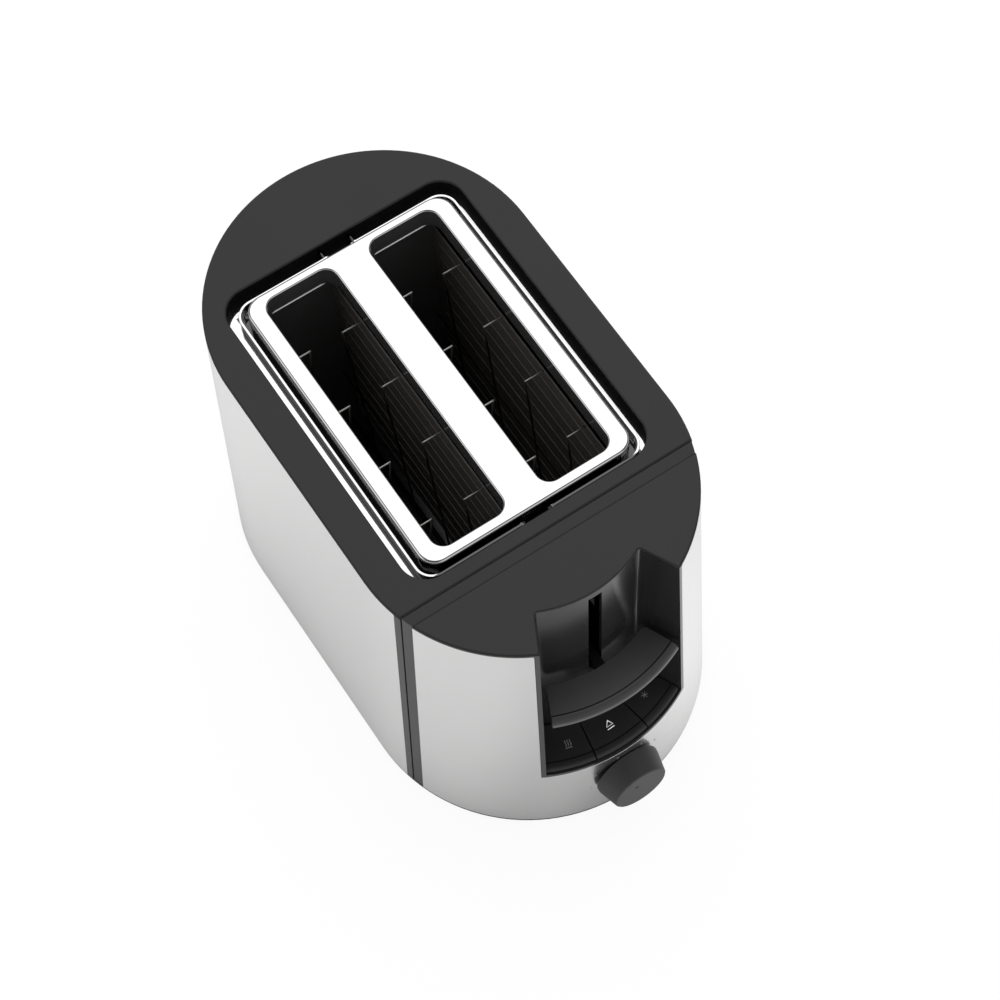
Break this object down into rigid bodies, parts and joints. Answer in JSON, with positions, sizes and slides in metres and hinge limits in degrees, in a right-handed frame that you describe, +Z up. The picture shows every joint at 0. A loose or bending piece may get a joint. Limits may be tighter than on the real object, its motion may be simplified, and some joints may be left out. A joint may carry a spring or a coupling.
{
  "type": "pop up toaster",
  "caption": "Long-slot pop up toaster with rounded brushed steel wraps, black covers, a wide lever in an open recess, push buttons, a browning knob, bun rails and a crumb tray.",
  "frame": {"origin": "on the surface that the toaster stands on, under the middle of its bounding box", "axes": "+Z up, +Y from the control end towards the back, +X to the right of someone facing the control end"},
  "size_m": [0.1748, 0.3036, 0.198],
  "materials": {
    "black_moulding": "soft matte moulded",
    "brushed_steel": "brushed",
    "polished_steel": "polished",
    "control_black": "satin moulded",
    "liner_black": "black enamel",
    "chassis_sheet": "heat-darkened sheet",
    "rack_wire": "drawn wire",
    "mica": "pressed mica",
    "heating_ribbon": "oxidised ribbon",
    "machined_steel": "machined",
    "mechanism_plastic": "moulded",
    "bush_brass": "turned",
    "core_iron": "laminated",
    "coil_copper": "enamelled wire",
    "circuit_board": "solder resist",
    "tray_sheet": "tinned sheet",
    "foot_rubber": "moulded rubber"
  },
  "bodies": {
    "housing": {"base_pan": "black_moulding", "feet": "foot_rubber", "base_screws": "machined_steel", "chassis_screws": "machined_steel", "rear_shell": "brushed_steel", "front_shell": "brushed_steel", "rear_frame": "black_moulding", "front_frame": "black_moulding", "top_cover": "black_moulding", "front_cover": "black_moulding", "slot_plate": "polished_steel", "slot_liners": "liner_black", "guide_rod": "machined_steel", "return_spring": "machined_steel", "front_bulkhead": "chassis_sheet", "rear_bulkhead": "chassis_sheet", "left_reflector": "chassis_sheet", "right_reflector": "chassis_sheet", "magnet_core": "core_iron", "magnet_coil": "coil_copper", "contact_block": "mechanism_plastic", "contact_blades": "bush_brass", "button_board": "circuit_board", "tact_switches": "mechanism_plastic", "potentiometer": "mechanism_plastic", "main_board": "circuit_board", "cable_gland": "foot_rubber", "terminal_block": "mechanism_plastic", "heater_board_left_inner": "mica", "heater_board_left_outer": "mica", "heater_board_right_inner": "mica", "heater_board_right_outer": "mica", "heater_ribbon_left_inner": "heating_ribbon", "heater_ribbon_left_outer": "heating_ribbon", "heater_ribbon_right_inner": "heating_ribbon", "heater_ribbon_right_outer": "heating_ribbon"},
    "lever_carriage": {"lever_handle": "control_black", "lever_arm": "chassis_sheet", "carriage_bridge": "mechanism_plastic", "slide_bush": "bush_brass", "lift_rack_left": "rack_wire", "lift_rack_right": "rack_wire", "armature": "machined_steel"},
    "browning_knob": {"dial_knob": "control_black", "knob_shaft": "machined_steel"},
    "reheat": {"reheat_button": "control_black"},
    "stop": {"stop_button": "control_black"},
    "defrost": {"defrost_button": "control_black"},
    "bun_rail_l": {"bun_rail_left": "polished_steel"},
    "bun_rail_r": {"bun_rail_right": "polished_steel"},
    "tray": {"crumb_tray": "tray_sheet", "tray_handle": "black_moulding"},
    "guard_left_inner": {"guard_rack_left_inner": "rack_wire"},
    "guard_left_outer": {"guard_rack_left_outer": "rack_wire"},
    "guard_right_inner": {"guard_rack_right_inner": "rack_wire"},
    "guard_right_outer": {"guard_rack_right_outer": "rack_wire"}
  },
  "joints": [
    {"name": "lever_slide", "type": "slide", "parent": "housing", "child": "lever_carriage", "axis": [0, 0, 1], "range_m": [0, 0.068], "deforming": ["return_spring"]},
    {"name": "knob_turn", "type": "hinge", "parent": "housing", "child": "browning_knob", "pos_m": [0, -0.13855, 0.0335], "axis": [0, -0.9993, 0.0386], "range_deg": [-161, 109]},
    {"name": "reheat_press", "type": "slide", "parent": "housing", "child": "reheat", "axis": [0, 0, -1], "range_m": [0, 0.0015], "stiffness_N_per_m": 400, "springref_m": -0.002},
    {"name": "stop_press", "type": "slide", "parent": "housing", "child": "stop", "axis": [0, 0, -1], "range_m": [0, 0.0015], "stiffness_N_per_m": 400, "springref_m": -0.002},
    {"name": "defrost_press", "type": "slide", "parent": "housing", "child": "defrost", "axis": [0, 0, -1], "range_m": [0, 0.0015], "stiffness_N_per_m": 400, "springref_m": -0.002},
    {"name": "bun_rail_left_swing", "type": "hinge", "parent": "housing", "child": "bun_rail_l", "pos_m": [-0.008, 0.01609, 0.1903], "axis": [0, 1, 0], "range_deg": [0, 50]},
    {"name": "bun_rail_right_swing", "type": "hinge", "parent": "housing", "child": "bun_rail_r", "pos_m": [0.008, 0.01609, 0.1903], "axis": [0, -1, 0], "range_deg": [0, 50]},
    {"name": "tray_slide", "type": "slide", "parent": "housing", "child": "tray", "axis": [0, 1, 0], "range_m": [0, 0.2]},
    {"name": "guard_left_inner_tilt", "type": "hinge", "parent": "housing", "child": "guard_left_inner", "pos_m": [-0.0109, 0.01484, 0.044], "axis": [0, 1, 0], "range_deg": [0, 3.43]},
    {"name": "guard_left_outer_tilt", "type": "hinge", "parent": "housing", "child": "guard_left_outer", "pos_m": [-0.0444, 0.01484, 0.044], "axis": [0, -1, 0], "range_deg": [0, 3.43]},
    {"name": "guard_right_inner_tilt", "type": "hinge", "parent": "housing", "child": "guard_right_inner", "pos_m": [0.0109, 0.01484, 0.044], "axis": [0, -1, 0], "range_deg": [0, 3.43]},
    {"name": "guard_right_outer_tilt", "type": "hinge", "parent": "housing", "child": "guard_right_outer", "pos_m": [0.0444, 0.01484, 0.044], "axis": [0, 1, 0], "range_deg": [0, 3.43]}
  ],
  "couplings": [
    {"joint": "guard_left_inner_tilt", "follows": "lever_slide", "rad_per_m": 0.87849},
    {"joint": "guard_left_outer_tilt", "follows": "lever_slide", "rad_per_m": 0.87849},
    {"joint": "guard_right_inner_tilt", "follows": "lever_slide", "rad_per_m": 0.87849},
    {"joint": "guard_right_outer_tilt", "follows": "lever_slide", "rad_per_m": 0.87849}
  ]
}
